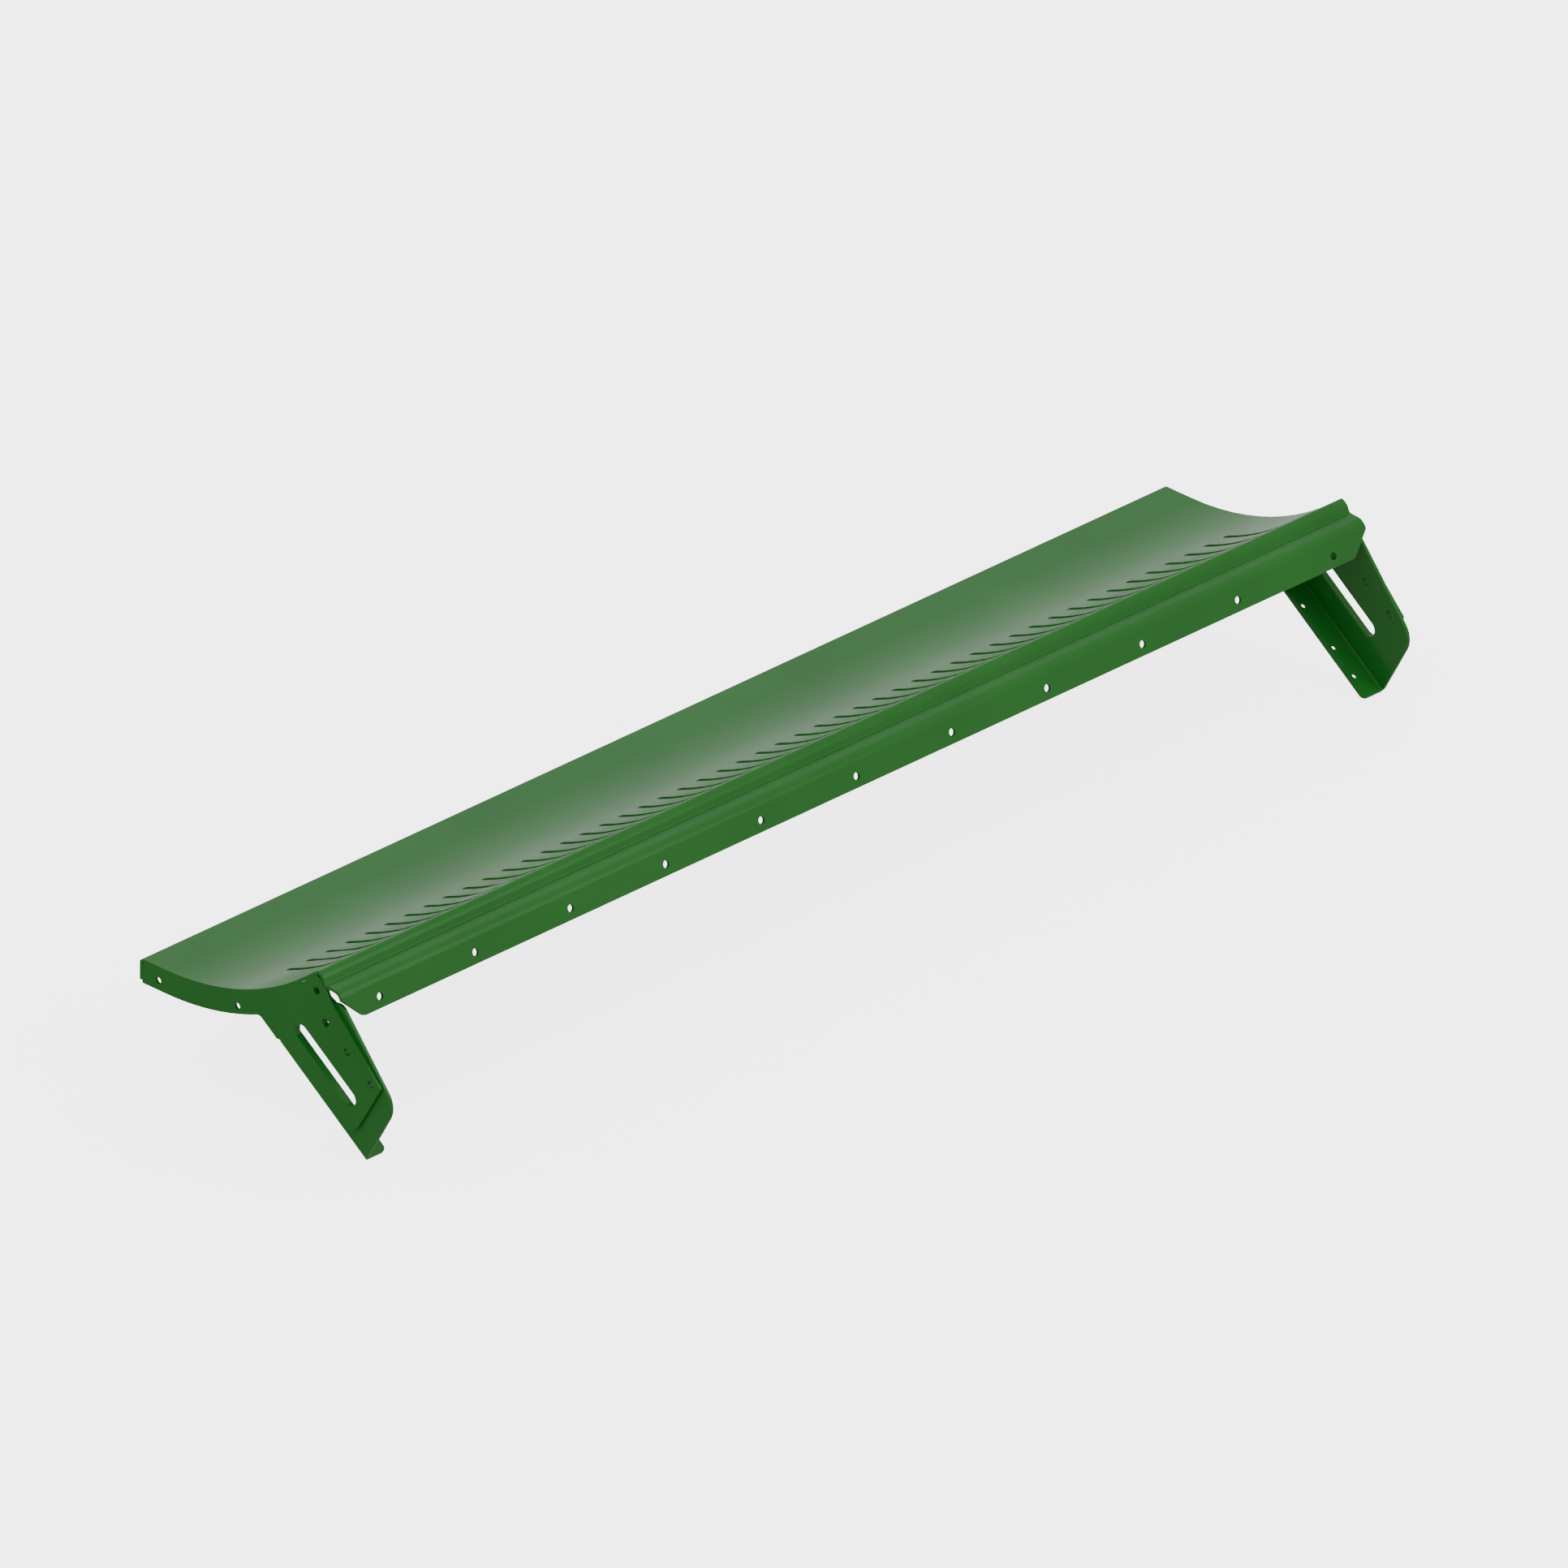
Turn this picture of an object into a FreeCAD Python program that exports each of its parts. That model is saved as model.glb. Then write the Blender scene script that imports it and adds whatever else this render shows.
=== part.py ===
import FreeCAD, Part
import math
import os
import Sketcher

# Slotted deck panel: one bent sheet on two end plates, each backed by a flanged leg bracket.
# X runs along the deck, +Y is the rear (lip) side, +Z is up. Millimetres.
# Sketch planes start at the lower outer corner of the rear lip; the whole set is moved
# at the end so that the origin sits at the centre of the footprint.

os.makedirs("parts", exist_ok=True)
doc = FreeCAD.newDocument("slotted_deck_panel")

driving = [
    ("deck_length", 1606),
    ("plate", 4),
    ("lip_run", 21.5),
    ("lip_turn", 90),
    ("lip_bend", 5.5),
    ("tail_run", 37.5),
    ("pan_sweep", 36.9),
    ("pan_bend", 362.5),
    ("front_run", 20.6),
    ("crest_turn", 68),
    ("crest_bend", 5),
    ("nose_run", 2.2),
    ("step_turn", 34),
    ("step_bend", 12),
    ("step_run", 5.2),
    ("ledge_turn", 61),
    ("ledge_bend", 2),
    ("ledge_run", 12.35),
    ("apron_turn", 66),
    ("apron_bend", 13.5),
    ("apron_run", 27.2),
    ("slot_count", 49),
    ("slot_margin", 68.6),
    ("slot_width", 8),
    ("slot_length", 90.6),
    ("slot_setback", 26.1),
    ("apron_hole_count", 11),
    ("apron_hole_margin", 55.5),
    ("apron_hole_rise", 13),
    ("apron_hole_size", 9),
    ("corner_cut", 26),
    ("corner_round", 9),
    ("lip_round", 1.2),
    ("leg_slope", 36.2),
    ("root_back", 66.3),
    ("root_down", 110.1),
    ("plate_gap", 1),
    ("crest_relief", 3),
    ("rear_relief", 3),
    ("arm_tip_round", 1.5),
    ("arm_depth", 30),
    ("arm_hole_depth", 18),
    ("arm_hole_size", 8),
    ("rear_hole_inset", 29.2),
    ("front_hole_turn", 16.7),
    ("front_hole_depth", 20.5),
    ("top_hole_back", 2.7),
    ("top_hole_down", 20.4),
    ("top_hole_size", 9),
    ("knee_down", 20),
    ("knee_out", 118.7),
    ("toe_down", 131),
    ("toe_out", 99),
    ("heel_down", 139.5),
    ("heel_round", 20),
    ("edge_step", 3),
    ("edge_step_down", 3.4),
    ("toe_round", 3),
    ("inner_corner_round", 8),
    ("leg_hole_out", 90),
    ("upper_hole_down", 30.5),
    ("upper_hole_size", 10),
    ("middle_hole_down", 71.6),
    ("lower_hole_down", 117.5),
    ("leg_hole_size", 9),
    ("leg_slot_out", 46.5),
    ("leg_slot_top", 15.5),
    ("leg_slot_foot", 108),
    ("leg_slot_width", 20),
    ("tab_out", 112),
    ("tab_rise", 10),
    ("tab_round", 8),
    ("waist_out", 118.2),
    ("waist_down", 23),
    ("shoulder_down", 31),
    ("shoulder_out", 126.2),
    ("shoulder_round", 12),
    ("ankle_down", 157),
    ("ankle_out", 94.5),
    ("ankle_round", 28),
    ("bracket_length", 167),
    ("flange_width", 33),
    ("flange_bend", 2),
    ("flange_round", 7),
    ("flange_hole_inset", 24),
    ("flange_hole_upper", 39),
    ("flange_hole_middle", 98),
    ("flange_hole_lower", 138),
    ("flange_hole_size", 6),
]

sheet = doc.addObject("Spreadsheet::Sheet", "Sizes")
rows = 0


def add_size(name, text):
    """Put one value or formula in the sheet under a plain name."""
    global rows
    rows += 1
    sheet.set("A%d" % rows, name)
    sheet.set("B%d" % rows, text)
    sheet.setAlias("B%d" % rows, name)


for size_name, size_value in driving:
    add_size(size_name, str(size_value))

# The bent section is laid out from the lip upwards and forwards. Each bend keeps its centre
# and the fall of the run that leaves it; a turn to the left counts +1, to the right -1.
bends = [
    ("lip", 1, "tail_run"),
    ("pan", -1, "front_run"),
    ("crest", 1, "nose_run"),
    ("step", 1, "step_run"),
    ("ledge", -1, "ledge_run"),
    ("apron", 1, "apron_run"),
]
add_size("pan_turn", "=pan_sweep")
at_y = "0"
at_z = "lip_run"
fall = "(-lip_turn)"
for bend_name, side, run in bends:
    add_size(bend_name + "_enter", "=" + fall)
    enter = bend_name + "_enter"
    radius = bend_name + "_bend"
    add_size(bend_name + "_centre_y", "=%s+(%d)*%s*sin(%s)" % (at_y, side, radius, enter))
    add_size(bend_name + "_centre_z", "=%s-(%d)*%s*cos(%s)" % (at_z, side, radius, enter))
    add_size(bend_name + "_leave", "=%s+(%d)*%s_turn" % (enter, side, bend_name))
    leave = bend_name + "_leave"
    end_y = "=%s_centre_y-(%d)*%s*sin(%s)-%s*cos(%s)" % (bend_name, side, radius, leave, run, leave)
    end_z = "=%s_centre_z+(%d)*%s*cos(%s)-%s*sin(%s)" % (bend_name, side, radius, leave, run, leave)
    add_size(bend_name + "_end_y", end_y)
    add_size(bend_name + "_end_z", end_z)
    at_y = bend_name + "_end_y"
    at_z = bend_name + "_end_z"
    fall = leave

# Leg frame: "down" runs along the leg, "out" runs square to it, towards the front.
add_size("root_y", "=crest_centre_y+root_back")
add_size("root_z", "=crest_centre_z-root_down")
add_size("flange_outer", "=flange_bend+plate")
add_size("lip_height", "=lip_run+lip_bend")
add_size("arm_radius", "=pan_bend+arm_depth")
# Where the rear edge of the leg meets the lower edge of the arm, measured down the leg.
add_size("meet_y", "=root_y-flange_outer*sin(leg_slope)-pan_centre_y")
add_size("meet_z", "=root_z+flange_outer*cos(leg_slope)-pan_centre_z")
add_size("meet_along", "=meet_y*cos(leg_slope)+meet_z*sin(leg_slope)")
add_size("meet_rest", "=meet_y*meet_y+meet_z*meet_z-arm_radius*arm_radius")
add_size("meet_down", "=meet_along+sqrt(meet_along*meet_along-meet_rest)")
add_size("end_face", "=deck_length/2")
add_size("slot_pitch", "=(deck_length-2*slot_margin)/(slot_count-1)")
add_size("slot_front", "=crest_centre_y+slot_setback")
add_size("apron_hole_pitch", "=(deck_length-2*apron_hole_margin)/(apron_hole_count-1)")
doc.recompute()


def named(text):
    """Turn a formula written with sheet names into one an expression can use."""
    out = ""
    word = ""
    for mark in text + " ":
        if mark.isalnum() or mark == "_":
            word += mark
            continue
        if "_" in word or word == "plate":
            word = "Sizes." + word
        out += word + mark
        word = ""
    return out.strip()


def value(text):
    """Present value of a formula written with sheet names."""
    return float(sheet.evalExpression(named(text)))


def leg_point(down, out):
    """Formulas for a point given in the leg frame."""
    y = "root_y-(%s)*cos(leg_slope)-(%s)*sin(leg_slope)" % (down, out)
    z = "root_z-(%s)*sin(leg_slope)+(%s)*cos(leg_slope)" % (down, out)
    return (y, z)


def bend_point(name, side, fall_name, shift):
    """Formulas for a point on a bend, shifted inwards from the outer skin."""
    reach = "(%s_bend-(%d)*(%s))" % (name, side, shift)
    y = "%s_centre_y-(%d)*%s*sin(%s)" % (name, side, reach, fall_name)
    z = "%s_centre_z+(%d)*%s*cos(%s)" % (name, side, reach, fall_name)
    return (y, z)


def new_body(label):
    body = doc.addObject("PartDesign::Body", label)
    body.Label = label
    return body


def new_sketch(body, name, role, shift, tilt_axis=None, tilt=None):
    """Sketch on one of the body's own planes, moved and turned by sheet formulas."""
    sketch = body.newObject("Sketcher::SketchObject", name)
    plane = [item for item in body.Origin.OriginFeatures if item.Role == role][0]
    sketch.AttachmentSupport = [(plane, "")]
    sketch.MapMode = "FlatFace"
    if tilt is not None:
        turn = FreeCAD.Rotation(tilt_axis, value(tilt))
        sketch.AttachmentOffset = FreeCAD.Placement(FreeCAD.Vector(0, 0, 0), turn)
        sketch.setExpression("AttachmentOffset.Rotation.Angle", named(tilt))
    for axis, text in zip("xyz", shift):
        if text != "0":
            sketch.setExpression("AttachmentOffset.Base." + axis, named(text))
    return sketch


def hold(sketch, kind, geometry, spot, text):
    """One dimension of a sketch, tied to a formula."""
    if spot is None:
        number = sketch.addConstraint(Sketcher.Constraint(kind, geometry, value(text)))
    else:
        number = sketch.addConstraint(Sketcher.Constraint(kind, geometry, spot, value(text)))
    sketch.setExpression("Constraints[%d]" % number, named(text))


def draw_outline(sketch, corners, curves, half_turns=False):
    """Closed outline. Corners are formula pairs; curves give (radius, centre) by corner index."""
    points = [FreeCAD.Vector(value(first), value(second), 0) for first, second in corners]
    total = len(points)
    geometry = []
    heads = []
    tails = []
    for index in range(total):
        start = points[index]
        finish = points[(index + 1) % total]
        if index not in curves:
            item = sketch.addGeometry(Part.LineSegment(start, finish), False)
            heads.append(1)
            tails.append(2)
            geometry.append(item)
            continue
        radius, centre = curves[index]
        middle = FreeCAD.Vector(value(centre[0]), value(centre[1]), 0)
        from_angle = math.atan2(start.y - middle.y, start.x - middle.x)
        to_angle = math.atan2(finish.y - middle.y, finish.x - middle.x)
        sweep = (to_angle - from_angle) % (2 * math.pi)
        circle = Part.Circle(middle, FreeCAD.Vector(0, 0, 1), value(radius))
        if sweep <= math.pi + 0.001:
            item = sketch.addGeometry(Part.ArcOfCircle(circle, from_angle, from_angle + sweep), False)
            heads.append(1)
            tails.append(2)
        else:
            item = sketch.addGeometry(
                Part.ArcOfCircle(circle, to_angle, to_angle + 2 * math.pi - sweep), False)
            heads.append(2)
            tails.append(1)
        geometry.append(item)
    for index in range(total):
        follower = (index + 1) % total
        sketch.addConstraint(Sketcher.Constraint(
            "Coincident", geometry[index], tails[index], geometry[follower], heads[follower]))
    for index in range(total):
        hold(sketch, "DistanceX", geometry[index], heads[index], corners[index][0])
        hold(sketch, "DistanceY", geometry[index], heads[index], corners[index][1])
        if index in curves and half_turns:
            hold(sketch, "DistanceY", geometry[index], 3, curves[index][1][1])
        elif index in curves:
            hold(sketch, "Radius", geometry[index], None, curves[index][0])
    return geometry


def draw_circle(sketch, first, second, size):
    """Circle held by its centre and its diameter."""
    middle = FreeCAD.Vector(value(first), value(second), 0)
    circle = Part.Circle(middle, FreeCAD.Vector(0, 0, 1), value(size) / 2)
    item = sketch.addGeometry(circle, False)
    hold(sketch, "DistanceX", item, 3, first)
    hold(sketch, "DistanceY", item, 3, second)
    hold(sketch, "Diameter", item, None, size)


def draw_slot(sketch, across, near, far, width):
    """Round-ended slot along the second sketch axis, between two arc centres."""
    half = "(%s)/2" % width
    corners = [
        ("%s+%s" % (across, half), near),
        ("%s+%s" % (across, half), far),
        ("%s-%s" % (across, half), far),
        ("%s-%s" % (across, half), near),
    ]
    curves = {1: (half, (across, far)), 3: (half, (across, near))}
    draw_outline(sketch, corners, curves, True)


def pad(body, sketch, name, length, both_ways=False):
    feature = body.newObject("PartDesign::Pad", name)
    feature.Profile = sketch
    if both_ways:
        feature.SideType = "Symmetric"
    feature.setExpression("Length", named(length))
    doc.recompute()
    return feature


def cut_through(body, sketch, name):
    """Cut to both sides of the sketch; stops the run if nothing was removed."""
    before = body.Shape.Volume
    feature = body.newObject("PartDesign::Pocket", name)
    feature.Profile = sketch
    feature.SideType = "Symmetric"
    feature.Type = "ThroughAll"
    doc.recompute()
    if feature.Shape.Volume >= before - 0.1:
        raise RuntimeError(name + " removed nothing")
    return feature


def repeat(body, feature, sketch, name, pitch, count):
    """Row of the same cut along the first sketch axis."""
    pattern = body.newObject("PartDesign::LinearPattern", name)
    pattern.Originals = [feature]
    pattern.Direction = (sketch, ["H_Axis"])
    pattern.setExpression("Length", named("(%s)*(%s-1)" % (pitch, count)))
    pattern.setExpression("Occurrences", named(count))
    body.Tip = pattern
    doc.recompute()
    return pattern


def edges_at(shape, direction, spots):
    """Names of straight edges along a direction whose line passes the given (y, z) or (x, z) spots."""
    found = []
    for number, edge in enumerate(shape.Edges, 1):
        if edge.Curve.TypeId != "Part::GeomLine":
            continue
        along = edge.Curve.Direction
        if abs(abs(along.dot(direction)) - 1) > 1e-5:
            continue
        middle = edge.valueAt((edge.FirstParameter + edge.LastParameter) / 2)
        for spot in spots:
            apart = middle - spot
            apart = apart - direction * apart.dot(direction)
            if apart.Length < 0.05:
                found.append("Edge%d" % number)
                break
    return found


def round_edges(body, base, name, names, radius):
    if not names:
        raise RuntimeError(name + " found no edge")
    feature = body.newObject("PartDesign::Fillet", name)
    feature.Base = (base, names)
    feature.setExpression("Radius", named(radius))
    body.Tip = feature
    doc.recompute()
    if feature.Shape.isNull() or not feature.Shape.isValid():
        raise RuntimeError(name + " failed")
    return feature


def spot_at(pair, along=0.0):
    return FreeCAD.Vector(along, value(pair[0]), value(pair[1]))


along_x = FreeCAD.Vector(1, 0, 0)
along_y = FreeCAD.Vector(0, 1, 0)


def make_deck():
    """One sheet, bent: lip, tail, hollow pan, crest, step, ledge and apron."""
    body = new_body("deck")
    section = new_sketch(body, "DeckSection", "YZ_Plane", ("0", "0", "0"))
    corners = [("0", "0")]
    curves = {}
    for name, side, run in bends:
        curves[len(corners)] = (name + "_bend", (name + "_centre_y", name + "_centre_z"))
        corners.append(bend_point(name, side, name + "_enter", "0"))
        corners.append(bend_point(name, side, name + "_leave", "0"))
    corners.append(("apron_end_y", "apron_end_z"))
    corners.append(("apron_end_y+plate*sin(apron_leave)", "apron_end_z-plate*cos(apron_leave)"))
    for name, side, run in reversed(bends):
        reach = "(%s_bend-(%d)*plate)" % (name, side)
        curves[len(corners)] = (reach, (name + "_centre_y", name + "_centre_z"))
        corners.append(bend_point(name, side, name + "_leave", "plate"))
        corners.append(bend_point(name, side, name + "_enter", "plate"))
    corners.append(("-plate", "0"))
    draw_outline(section, corners, curves)
    sheet_pad = pad(body, section, "DeckSheet", "deck_length", True)

    # Corners of the lip, rounded through the sheet.
    spots = []
    for end in (-1, 1):
        spots.append(FreeCAD.Vector(end * value("end_face"), 0, 0))
    lip_corners = round_edges(
        body, sheet_pad, "LipCorners", edges_at(sheet_pad.Shape, along_y, spots), "lip_round")

    # Sloped corners of the apron, drawn in its own plane.
    apron_tilt = "apron_leave-90"
    apron_base = ("0", "apron_end_z", "-apron_end_y")
    for end, name in ((-1, "Left"), (1, "Right")):
        corner = new_sketch(
            body, "ApronCorner" + name, "XZ_Plane", apron_base, along_x, apron_tilt)
        face = "(%d)*end_face" % end
        outline = [
            ("%s+(%d)*plate" % (face, end), "corner_cut+plate"),
            ("%s-(%d)*(corner_cut+plate)" % (face, end), "-plate"),
            ("%s+(%d)*plate" % (face, end), "-plate"),
        ]
        draw_outline(corner, outline, {})
        cut_through(body, corner, "ApronCornerCut" + name)
    round_spots = []
    for end in (-1, 1):
        at = end * (value("end_face") - value("corner_cut"))
        round_spots.append(FreeCAD.Vector(at, value("apron_end_y"), value("apron_end_z")))
    normal = FreeCAD.Vector(0, -math.sin(math.radians(value("apron_leave"))),
                            math.cos(math.radians(value("apron_leave"))))
    found = edges_at(body.Tip.Shape, normal, round_spots)
    round_edges(body, body.Tip, "ApronCornerRounds", found, "corner_round")

    hole = new_sketch(body, "ApronHole", "XZ_Plane", apron_base, along_x, apron_tilt)
    draw_circle(hole, "apron_hole_margin-end_face", "apron_hole_rise", "apron_hole_size")
    hole_cut = cut_through(body, hole, "ApronHoleCut")
    repeat(body, hole_cut, hole, "ApronHoleRow", "apron_hole_pitch", "apron_hole_count")

    slot = new_sketch(body, "DeckSlot", "XY_Plane", ("0", "0", "0"))
    half = "slot_width/2"
    draw_slot(slot, "slot_margin-end_face", "slot_front+" + half,
              "slot_front+slot_length-" + half, "slot_width")
    slot_cut = cut_through(body, slot, "DeckSlotCut")
    repeat(body, slot_cut, slot, "DeckSlotRow", "slot_pitch", "slot_count")
    return body


def make_end_plate():
    """Flat plate under one end of the deck: curved arm at the rear, leg at the front."""
    body = new_body("left_end_plate")
    outline = new_sketch(body, "EndPlateOutline", "YZ_Plane", ("0", "0", "-end_face"))
    pan_centre = ("pan_centre_y", "pan_centre_z")
    ledge_centre = ("ledge_centre_y", "ledge_centre_z")
    short_run = "(front_run-crest_relief)"
    pan_out = bend_point("pan", -1, "pan_leave", "plate")
    before_crest = (pan_out[0] + "-%s*cos(pan_leave)" % short_run,
                    pan_out[1] + "-%s*sin(pan_leave)" % short_run)
    meet = leg_point("meet_down", "flange_outer")
    toe = leg_point("toe_down", "toe_out")
    heel = leg_point("heel_down", "flange_outer+edge_step")
    arm_foot = "lip_height-arm_depth"
    corners = [
        ("-plate", "lip_height-plate-rear_relief"),
        ("-plate-rear_relief", "lip_height-plate"),
        ("pan_centre_y", "lip_height-plate"),
        pan_out,
        before_crest,
        bend_point("step", 1, "step_leave", "(plate+plate_gap)"),
        bend_point("ledge", -1, "ledge_enter", "(plate+plate_gap)"),
        bend_point("ledge", -1, "ledge_leave", "(plate+plate_gap)"),
        leg_point("knee_down", "knee_out"),
        toe,
        heel,
        leg_point("0", "flange_outer+edge_step"),
        leg_point("-edge_step_down", "flange_outer"),
        meet,
        ("pan_centre_y", arm_foot),
        ("-plate", arm_foot),
    ]
    curves = {
        2: ("pan_bend+plate", pan_centre),
        6: ("ledge_bend+plate+plate_gap", ledge_centre),
        13: ("arm_radius", pan_centre),
    }
    draw_outline(outline, corners, curves)
    blank = pad(body, outline, "EndPlateBlank", "plate")
    rounds = (
        ("EndPlateHeel", heel, "heel_round"),
        ("EndPlateToe", toe, "toe_round"),
        ("EndPlateInnerCorner", meet, "inner_corner_round"),
        ("EndPlateArmTip", ("-plate", arm_foot), "arm_tip_round"),
    )
    for name, pair, radius in rounds:
        found = edges_at(body.Tip.Shape, along_x, [spot_at(pair)])
        round_edges(body, body.Tip, name, found, radius)

    arm_holes = new_sketch(body, "ArmHoles", "YZ_Plane", ("0", "0", "-end_face"))
    reach = "(pan_bend+front_hole_depth)"
    draw_circle(arm_holes, "-rear_hole_inset", "lip_height-arm_hole_depth", "arm_hole_size")
    draw_circle(arm_holes, "pan_centre_y-%s*sin(front_hole_turn)" % reach,
                "pan_centre_z-%s*cos(front_hole_turn)" % reach, "arm_hole_size")
    cut_through(body, arm_holes, "ArmHoleCuts")
    cut_leg_openings(body, "EndPlate")
    return body


def leg_sketch(body, name):
    """Sketch in the leg frame: first axis out, second axis down the leg."""
    return new_sketch(body, name, "YZ_Plane", ("root_y", "root_z", "-end_face"),
                      FreeCAD.Vector(0, 0, 1), "90+leg_slope")


def cut_leg_openings(body, prefix):
    """Four bolt holes and the long slot, the same through plate and bracket."""
    openings = leg_sketch(body, prefix + "LegOpenings")
    draw_circle(openings, "leg_hole_out", "upper_hole_down", "upper_hole_size")
    draw_circle(openings, "leg_hole_out", "middle_hole_down", "leg_hole_size")
    draw_circle(openings, "leg_hole_out", "lower_hole_down", "leg_hole_size")
    cut_through(body, openings, prefix + "LegHoles")
    top_hole = new_sketch(body, prefix + "TopHole", "YZ_Plane", ("0", "0", "-end_face"))
    draw_circle(top_hole, "crest_centre_y+top_hole_back", "crest_centre_z-top_hole_down",
                "top_hole_size")
    cut_through(body, top_hole, prefix + "TopHoleCut")
    long_slot = leg_sketch(body, prefix + "LegSlot")
    draw_slot(long_slot, "leg_slot_out", "leg_slot_top", "leg_slot_foot", "leg_slot_width")
    cut_through(body, long_slot, prefix + "LegSlotCut")


def make_leg_bracket():
    """Angle bracket on the inner face of the end plate, with a drilled rear flange."""
    body = new_body("left_leg_bracket")
    # Angle section, looking down the leg: web against the end plate, flange at the rear.
    section = new_sketch(body, "BracketSection", "XZ_Plane", ("0", "root_z", "-root_y"),
                         along_x, "leg_slope")
    face = "plate-end_face"
    bend_centre = (face + "+flange_outer", "flange_outer")
    corners = [
        (face + "+flange_width", "plate"),
        (face + "+flange_outer", "plate"),
        (face + "+plate", "flange_outer"),
        (face + "+plate", "shoulder_out"),
        (face, "shoulder_out"),
        (face, "flange_outer"),
        (face + "+flange_outer", "0"),
        (face + "+flange_width", "0"),
    ]
    draw_outline(section, corners, {1: ("flange_bend", bend_centre), 5: ("flange_outer", bend_centre)})
    pad(body, section, "BracketAngle", "bracket_length")
    # The top of the web leans up towards the crest, behind the end plate's uppermost hole.
    tab = new_sketch(body, "BracketTab", "YZ_Plane", ("root_y", "root_z", "plate-end_face"),
                     FreeCAD.Vector(0, 0, 1), "90+leg_slope")
    corners = [
        ("flange_outer", "0"),
        ("tab_out", "-tab_rise"),
        ("waist_out", "waist_down"),
        ("flange_outer", "waist_down"),
    ]
    draw_outline(tab, corners, {})
    pad(body, tab, "BracketTabPad", "plate")
    trim = leg_sketch(body, "BracketTrim")
    beyond = "(bracket_length+flange_width)"
    corners = [
        ("tab_out", "-flange_width"),
        ("tab_out", "-tab_rise"),
        ("waist_out", "waist_down"),
        ("shoulder_out", "shoulder_down"),
        ("ankle_out", "ankle_down"),
        ("flange_outer", "bracket_length"),
        ("flange_outer", beyond),
        ("shoulder_out+flange_width", beyond),
        ("shoulder_out+flange_width", "-flange_width"),
    ]
    draw_outline(trim, corners, {})
    cut_through(body, trim, "BracketTrimCut")

    slope = math.radians(value("leg_slope"))
    down = FreeCAD.Vector(0, -math.cos(slope), -math.sin(slope))
    out = FreeCAD.Vector(0, -math.sin(slope), math.cos(slope))
    root = spot_at(("root_y", "root_z"), value("plate-end_face"))
    for name, pair, radius in (
            ("BracketTabCorner", leg_point("-tab_rise", "tab_out"), "tab_round"),
            ("BracketShoulder", leg_point("shoulder_down", "shoulder_out"), "shoulder_round"),
            ("BracketAnkle", leg_point("ankle_down", "ankle_out"), "ankle_round")):
        found = edges_at(body.Tip.Shape, along_x, [spot_at(pair)])
        round_edges(body, body.Tip, name, found, radius)
    tip = root + down * value("bracket_length") + along_x * value("flange_width")
    found = edges_at(body.Tip.Shape, out, [tip])
    round_edges(body, body.Tip, "BracketFlangeCorner", found, "flange_round")

    holes = new_sketch(body, "FlangeHoles", "XZ_Plane", ("0", "root_z", "-root_y"),
                       along_x, "leg_slope-90")
    for distance in ("flange_hole_upper", "flange_hole_middle", "flange_hole_lower"):
        draw_circle(holes, "plate+flange_hole_inset-end_face", "-" + distance, "flange_hole_size")
    cut_through(body, holes, "FlangeHoleCuts")
    cut_leg_openings(body, "Bracket")
    return body


def mirror_of(source, label):
    """The same sub-part for the other end of the deck."""
    twin = doc.addObject("Part::Mirroring", label)
    twin.Label = label
    twin.Source = source
    twin.Base = FreeCAD.Vector(0, 0, 0)
    twin.Normal = FreeCAD.Vector(1, 0, 0)
    return twin


deck = make_deck()
left_plate = make_end_plate()
left_bracket = make_leg_bracket()
right_plate = mirror_of(left_plate, "right_end_plate")
right_bracket = mirror_of(left_bracket, "right_leg_bracket")
doc.recompute()

# Origin: centre of the footprint, on the ground.
boxes = [item.Shape.optimalBoundingBox(False) for item in (deck, left_plate, left_bracket)]
rear = max(box.YMax for box in boxes)
front = min(box.YMin for box in boxes)
ground = min(box.ZMin for box in boxes)
settle = FreeCAD.Vector(0, -(rear + front) / 2, -ground)
for item in (deck, left_plate, left_bracket):
    item.Placement = FreeCAD.Placement(settle, FreeCAD.Rotation())
doc.recompute()

for item in doc.Objects:
    if "Invalid" in item.State or "Error" in item.State:
        raise RuntimeError(item.Name + " did not compute")

for item in (deck, left_plate, right_plate, left_bracket, right_bracket):
    if item.Shape.isNull() or not item.Shape.isValid():
        raise RuntimeError(item.Label + " has no valid shape")
    item.Shape.exportStep("parts/" + item.Label + ".step")
    print(item.Label, round(item.Shape.Volume), item.Shape.optimalBoundingBox(False))
print("origin moved by", settle)
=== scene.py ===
import math
import bpy
import bmesh
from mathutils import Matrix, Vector


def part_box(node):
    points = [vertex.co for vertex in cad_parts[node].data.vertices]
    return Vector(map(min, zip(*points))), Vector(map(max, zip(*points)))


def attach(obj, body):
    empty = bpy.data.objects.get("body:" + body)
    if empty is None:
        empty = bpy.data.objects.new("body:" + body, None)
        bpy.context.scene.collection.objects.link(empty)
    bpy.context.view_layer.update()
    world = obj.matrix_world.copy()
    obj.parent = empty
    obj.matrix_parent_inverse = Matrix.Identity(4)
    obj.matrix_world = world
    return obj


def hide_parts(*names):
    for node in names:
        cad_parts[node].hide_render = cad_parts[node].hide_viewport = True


# Slotted deck panel in glossy green paint: deck sheet, two end plates, two leg brackets.
# Lengths in the dictionaries are millimetres unless a note says otherwise.

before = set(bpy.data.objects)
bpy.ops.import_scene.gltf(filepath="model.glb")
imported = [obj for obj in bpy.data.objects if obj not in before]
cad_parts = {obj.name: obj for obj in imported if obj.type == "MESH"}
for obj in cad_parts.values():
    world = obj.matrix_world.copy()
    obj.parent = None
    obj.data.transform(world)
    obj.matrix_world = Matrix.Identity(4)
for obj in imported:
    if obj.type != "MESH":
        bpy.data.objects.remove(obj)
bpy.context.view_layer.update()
mm = 0.001

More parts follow.
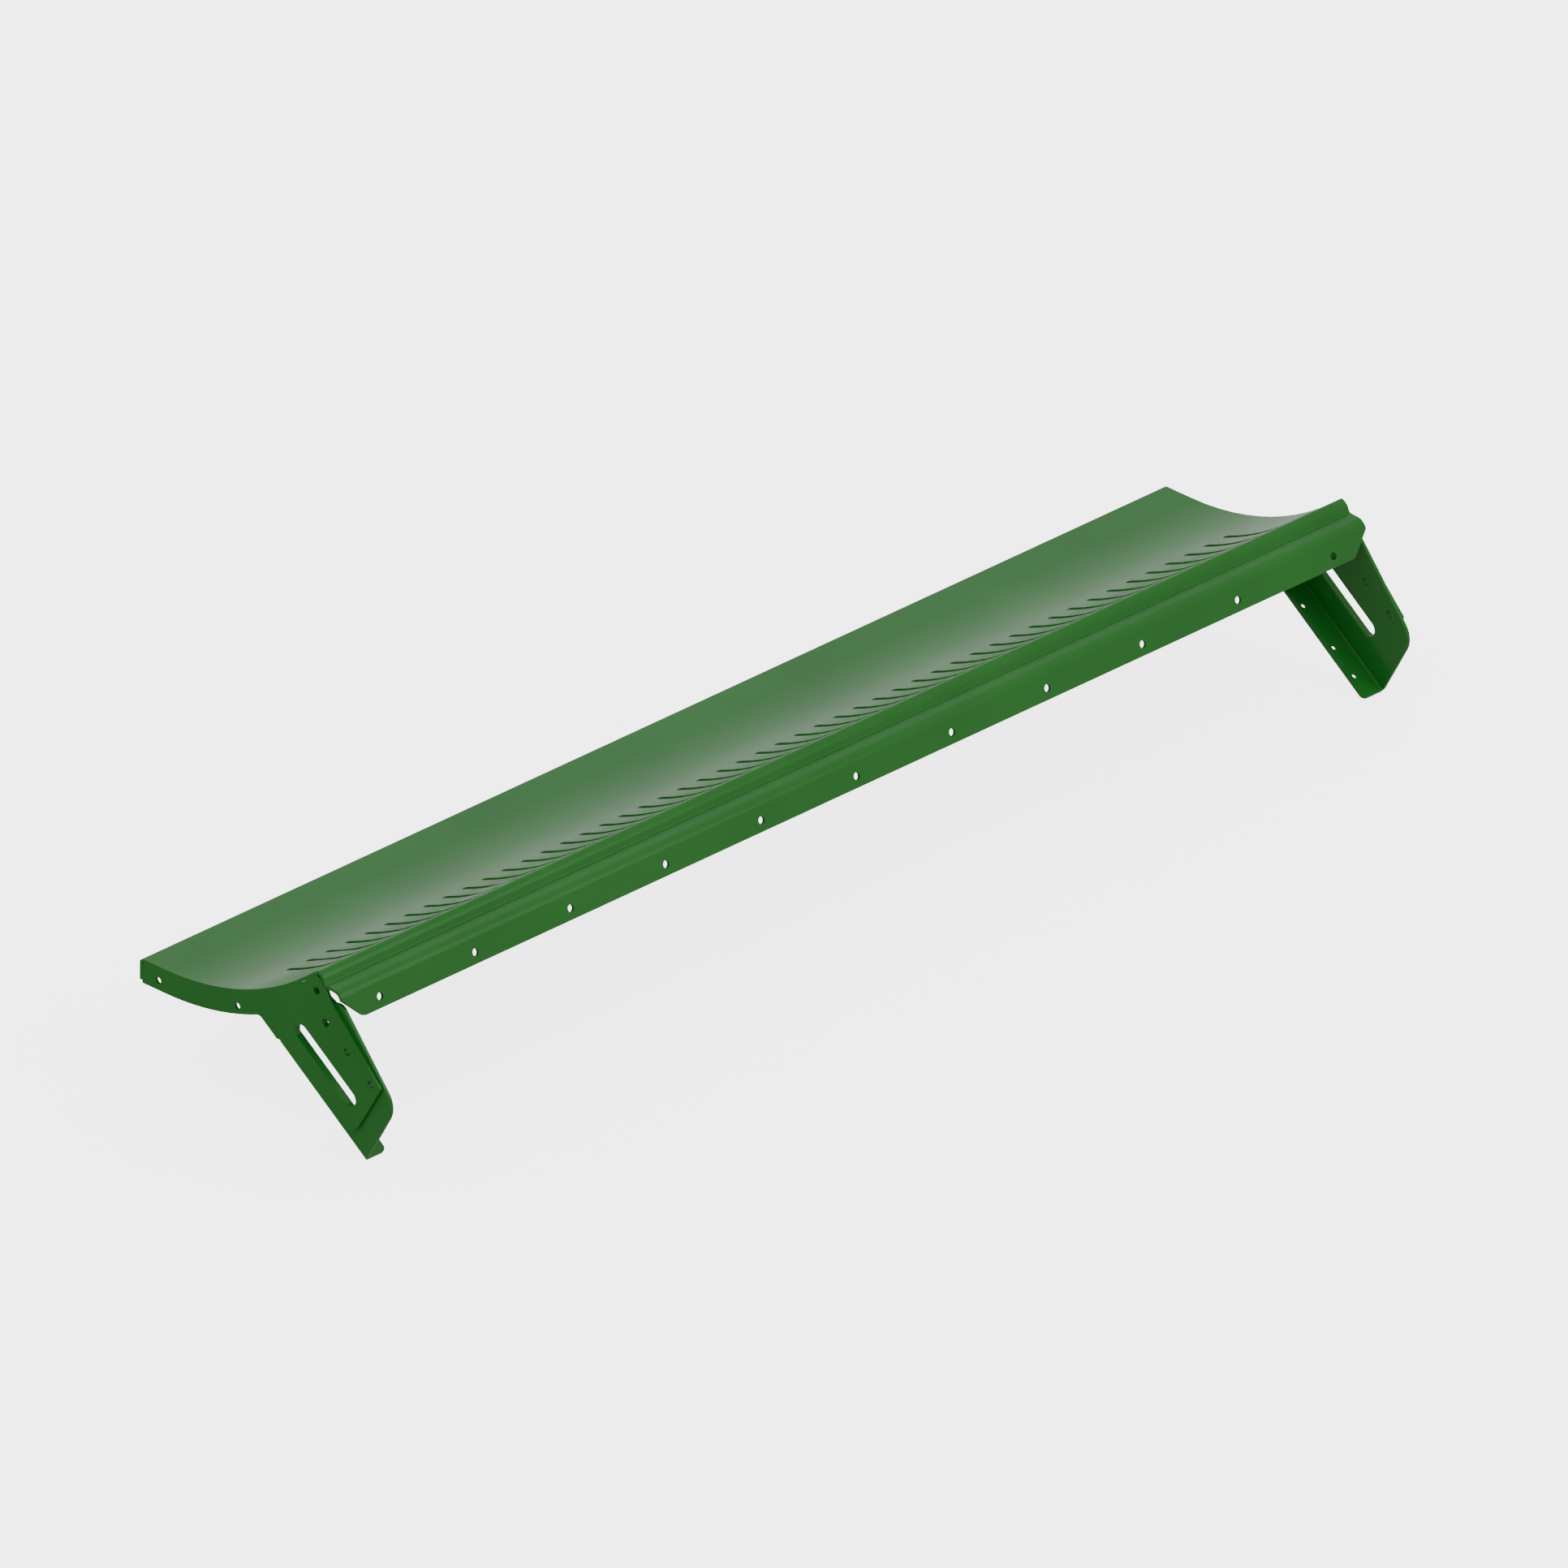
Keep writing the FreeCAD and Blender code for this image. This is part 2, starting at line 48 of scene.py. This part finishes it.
paintLook = {
    "deepGreen": (0.013, 0.128, 0.015, 1.0),
    "fullGreen": (0.016, 0.148, 0.018, 1.0),
    "patchScale": 7.0,          # broad, faint shifts of tone, per metre
    "patchDetail": 3.0,
    "roughLow": 0.16,
    "roughHigh": 0.22,
    "roughScale": 38.0,
    "roughDetail": 4.0,
    "noiseSpan": (0.3, 0.7),    # where the two noises mostly lie
    "peelScale": 620.0,         # fine orange peel of sprayed paint
    "peelDetail": 1.0,
    "peelStrength": 0.025,
    "peelDepth": 0.0002,        # metres
    "glossIndex": 1.27,
}


def paintMaterial(name, look):
    paint = bpy.data.materials.new(name)
    paint.use_nodes = True
    nodes = paint.node_tree.nodes
    links = paint.node_tree.links
    shader = nodes["Principled BSDF"]
    place = nodes.new("ShaderNodeTexCoord")

    patches = nodes.new("ShaderNodeTexNoise")
    patches.inputs["Scale"].default_value = look["patchScale"]
    patches.inputs["Detail"].default_value = look["patchDetail"]
    tone = nodes.new("ShaderNodeValToRGB")
    tone.color_ramp.elements[0].position = look["noiseSpan"][0]
    tone.color_ramp.elements[1].position = look["noiseSpan"][1]
    tone.color_ramp.elements[0].color = look["deepGreen"]
    tone.color_ramp.elements[1].color = look["fullGreen"]
    links.new(place.outputs["Object"], patches.inputs["Vector"])
    links.new(patches.outputs["Fac"], tone.inputs["Fac"])
    links.new(tone.outputs["Color"], shader.inputs["Base Color"])

    haze = nodes.new("ShaderNodeTexNoise")
    haze.inputs["Scale"].default_value = look["roughScale"]
    haze.inputs["Detail"].default_value = look["roughDetail"]
    spread = nodes.new("ShaderNodeMapRange")
    spread.inputs["From Min"].default_value = look["noiseSpan"][0]
    spread.inputs["From Max"].default_value = look["noiseSpan"][1]
    spread.inputs["To Min"].default_value = look["roughLow"]
    spread.inputs["To Max"].default_value = look["roughHigh"]
    links.new(place.outputs["Object"], haze.inputs["Vector"])
    links.new(haze.outputs["Fac"], spread.inputs["Value"])
    links.new(spread.outputs["Result"], shader.inputs["Roughness"])

    peel = nodes.new("ShaderNodeTexNoise")
    peel.inputs["Scale"].default_value = look["peelScale"]
    peel.inputs["Detail"].default_value = look["peelDetail"]
    ripple = nodes.new("ShaderNodeBump")
    ripple.inputs["Strength"].default_value = look["peelStrength"]
    ripple.inputs["Distance"].default_value = look["peelDepth"]
    links.new(place.outputs["Object"], peel.inputs["Vector"])
    links.new(peel.outputs["Fac"], ripple.inputs["Height"])
    links.new(ripple.outputs["Normal"], shader.inputs["Normal"])

    shader.inputs["IOR"].default_value = look["glossIndex"]
    return paint


greenPaint = paintMaterial("greenPaint", paintLook)


mergeDistance = 0.00001         # metres


# A merged copy of a CAD node, so that bends shade smoothly; it stands for the node.
def mergedCopy(nodeName, pieceName, sharpAngle):
    shape = bmesh.new()
    shape.from_mesh(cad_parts[nodeName].data)
    bmesh.ops.remove_doubles(shape, verts=shape.verts, dist=mergeDistance)
    mesh = bpy.data.meshes.new(pieceName)
    shape.to_mesh(mesh)
    shape.free()
    mesh.shade_smooth()
    mesh.set_sharp_from_angle(angle=math.radians(sharpAngle))
    piece = bpy.data.objects.new(pieceName, mesh)
    bpy.context.scene.collection.objects.link(piece)
    mesh.materials.clear()
    mesh.materials.append(greenPaint)
    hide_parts(nodeName)
    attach(piece, "root")
    return piece


deckSheet = {
    "plate": 4.0,
    "lipRun": 21.5,
    "lipTurn": 90.0,
    "sharpAngle": 30.0,
    "skinSlack": 0.45,          # how far a facet's corner may lie from the true bend
    "turnSlack": 0.01,          # radians past either end of a bend
    "endTilt": 0.05,            # faces that look more to the ends than this stay as they are
    "sameWay": 0.93,            # how closely a bend's normal has to follow its facet's
    # bend: side (left +1), turn in degrees, outer radius, run that follows
    "bends": (
        (1, 90.0, 5.5, 37.5),
        (-1, 36.9, 362.5, 20.6),
        (1, 68.0, 5.0, 2.2),
        (1, 34.0, 12.0, 5.2),
        (-1, 61.0, 2.0, 12.35),
        (1, 66.0, 13.5, 27.2),
    ),
}


# Bend centres and turning ranges of the deck sheet, in the lip's own frame.
def layBends(deck):
    y, z, fall = 0.0, deck["lipRun"], -deck["lipTurn"]
    laid = []
    for side, turn, radius, run in deck["bends"]:
        enter = math.radians(fall)
        centreY = y + side * radius * math.sin(enter)
        centreZ = z - side * radius * math.cos(enter)
        fall += side * turn
        leave = math.radians(fall)
        laid.append((side, radius, centreY, centreZ, enter, leave))
        y = centreY - side * radius * math.sin(leave) - run * math.cos(leave)
        z = centreZ + side * radius * math.cos(leave) - run * math.sin(leave)
    return laid


def makeDeck(deck):
    piece = mergedCopy("deck", "deckSheet", deck["sharpAngle"])
    mesh = piece.data
    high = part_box("deck")[1]
    bends = layBends(deck)
    crest = bends[2]
    rearFace = high[1] / mm
    lipFoot = high[2] / mm - (crest[3] + crest[1])
    normals = [Vector(corner.vector) for corner in mesh.corner_normals]
    fitted = 0
    for face in mesh.polygons:
        if abs(face.normal.x) > deck["endTilt"]:
            continue
        for corner in face.loop_indices:
            normals[corner] = face.normal.copy()    # flat runs stay flat up to the bend
            point = mesh.vertices[mesh.loops[corner].vertex_index].co
            y = point.y / mm - rearFace
            z = point.z / mm - lipFoot
            for side, radius, centreY, centreZ, enter, leave in bends:
                outward = Vector((0.0, y - centreY, z - centreZ))
                reach = outward.length
                skins = (radius, radius - side * deck["plate"])
                if min(abs(reach - skin) for skin in skins) > deck["skinSlack"]:
                    continue
                outward.normalize()
                if outward.dot(face.normal) < 0.0:
                    outward.negate()
                if outward.dot(face.normal) < deck["sameWay"]:
                    continue
                turned = math.atan2(-side * (y - centreY), side * (z - centreZ))
                start, end = sorted((enter, leave))
                if start - deck["turnSlack"] < turned < end + deck["turnSlack"]:
                    normals[corner] = outward
                    fitted += 1
                    break
    mesh.normals_split_custom_set(normals)
    print("deck corners fitted to the bends", fitted, "of", len(normals))


plateFinish = {
    "sharpAngle": 35.0,
    "flatAngle": 0.5,           # facets closer than this are one face
    "edgeRound": 0.3,
    "edgeSegments": 2,
}


# End plates and leg brackets get slightly rounded cut edges.
def makePlate(nodeName, pieceName, finish):
    piece = mergedCopy(nodeName, pieceName, finish["sharpAngle"])
    shape = bmesh.new()
    shape.from_mesh(piece.data)
    bmesh.ops.dissolve_limit(
        shape, angle_limit=math.radians(finish["flatAngle"]),
        verts=shape.verts, edges=shape.edges)
    shape.to_mesh(piece.data)
    shape.free()
    piece.data.shade_smooth()
    piece.data.set_sharp_from_angle(angle=math.radians(finish["sharpAngle"]))
    softEdge = piece.modifiers.new("softEdge", "BEVEL")
    softEdge.width = finish["edgeRound"] * mm
    softEdge.segments = finish["edgeSegments"]
    softEdge.limit_method = "ANGLE"
    softEdge.angle_limit = math.radians(finish["sharpAngle"])
    softEdge.harden_normals = True
    softEdge.use_clamp_overlap = True


makeDeck(deckSheet)
for side in ("left", "right"):
    makePlate(side + "_end_plate", side + "EndPlate", plateFinish)
    makePlate(side + "_leg_bracket", side + "LegBracket", plateFinish)
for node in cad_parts.values():
    node.data.materials.clear()
    node.data.materials.append(greenPaint)
print("pieces made")


# The room is in metres, degrees and watts.
studio = {
    "floorSize": 14.0,
    "floorDrop": 0.0004,        # below the feet
    "floorTone": (0.9, 0.9, 0.9, 1.0),
    "floorRough": 0.9,
    "floorGlow": 3.6,           # keeps the floor pale, also below the deck
    "skyTone": (1.0, 1.0, 1.0, 1.0),
    "skyLow": 0.39,             # light from below and from above
    "skyHigh": 1.04,
    "skyBlend": (-0.5, 0.0),    # sine of the elevation where one turns into the other
    "keyPower": 30.0,
    "keySize": 2.4,
    "keyPlace": (1.0, -2.6, 2.4),
    "keyAim": (0.0, 0.0, 0.1),
    "cameraTurn": -45.0,        # degrees round the object, and above the horizon
    "cameraRise": 27.5,
    "cameraFar": 6.0,
    "cameraReach": 50.0,
    "frameWidth": 1.7388,       # across the view
    "crestLeft": 0.5165,        # from the crest's left end to the middle of the view
    "crestBelow": 0.2078,
}


def makeStudio(room):
    bpy.ops.mesh.primitive_plane_add(
        size=room["floorSize"], location=(0, 0, -room["floorDrop"]))
    floor = bpy.context.active_object
    floor.name = "studioFloor"
    floorLook = bpy.data.materials.new("paleFloor")
    floorLook.use_nodes = True
    floorShader = floorLook.node_tree.nodes["Principled BSDF"]
    floorShader.inputs["Base Color"].default_value = room["floorTone"]
    floorShader.inputs["Roughness"].default_value = room["floorRough"]
    floorShader.inputs["Emission Color"].default_value = room["skyTone"]
    floorShader.inputs["Emission Strength"].default_value = room["floorGlow"]
    floor.data.materials.append(floorLook)
    floor.visible_glossy = False        # the pale floor is neither mirrored nor a lamp
    floor.visible_diffuse = False

    world = bpy.data.worlds.new("softRoom")
    world.use_nodes = True
    nodes = world.node_tree.nodes
    links = world.node_tree.links
    sky = nodes["Background"]
    sky.inputs["Color"].default_value = room["skyTone"]
    place = nodes.new("ShaderNodeTexCoord")
    split = nodes.new("ShaderNodeSeparateXYZ")
    fade = nodes.new("ShaderNodeMapRange")
    fade.inputs["From Min"].default_value = room["skyBlend"][0]
    fade.inputs["From Max"].default_value = room["skyBlend"][1]
    fade.inputs["To Min"].default_value = room["skyLow"]
    fade.inputs["To Max"].default_value = room["skyHigh"]
    links.new(place.outputs["Generated"], split.inputs["Vector"])
    links.new(split.outputs["Z"], fade.inputs["Value"])
    links.new(fade.outputs["Result"], sky.inputs["Strength"])
    bpy.context.scene.world = world

    keyData = bpy.data.lights.new("softKey", "AREA")
    keyData.energy = room["keyPower"]
    keyData.size = room["keySize"]
    key = bpy.data.objects.new("softKey", keyData)
    key.location = room["keyPlace"]
    aim = Vector(room["keyAim"]) - key.location
    key.rotation_euler = aim.to_track_quat("-Z", "Y").to_euler()
    bpy.context.scene.collection.objects.link(key)


def makeCamera(room):
    turn = math.radians(room["cameraTurn"])
    rise = math.radians(room["cameraRise"])
    level = math.cos(rise)
    toCamera = Vector((math.sin(turn) * level, -math.cos(turn) * level, math.sin(rise)))
    right = Vector((math.cos(turn), math.sin(turn), 0.0))
    up = toCamera.cross(right)
    low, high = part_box("deck")
    crest = layBends(deckSheet)[2]
    crestLeftEnd = Vector((low[0], high[1] + crest[2] * mm, high[2]))
    centre = crestLeftEnd + right * room["crestLeft"] + up * room["crestBelow"]
    lens = bpy.data.cameras.new("deckCamera")
    lens.type = "ORTHO"
    lens.ortho_scale = room["frameWidth"]
    lens.clip_end = room["cameraReach"]
    camera = bpy.data.objects.new("deckCamera", lens)
    camera.location = centre + toCamera * room["cameraFar"]
    camera.rotation_euler = (-toCamera).to_track_quat("-Z", "Y").to_euler()
    bpy.context.scene.collection.objects.link(camera)
    bpy.context.scene.camera = camera


makeStudio(studio)
makeCamera(studio)
print("studio ready")
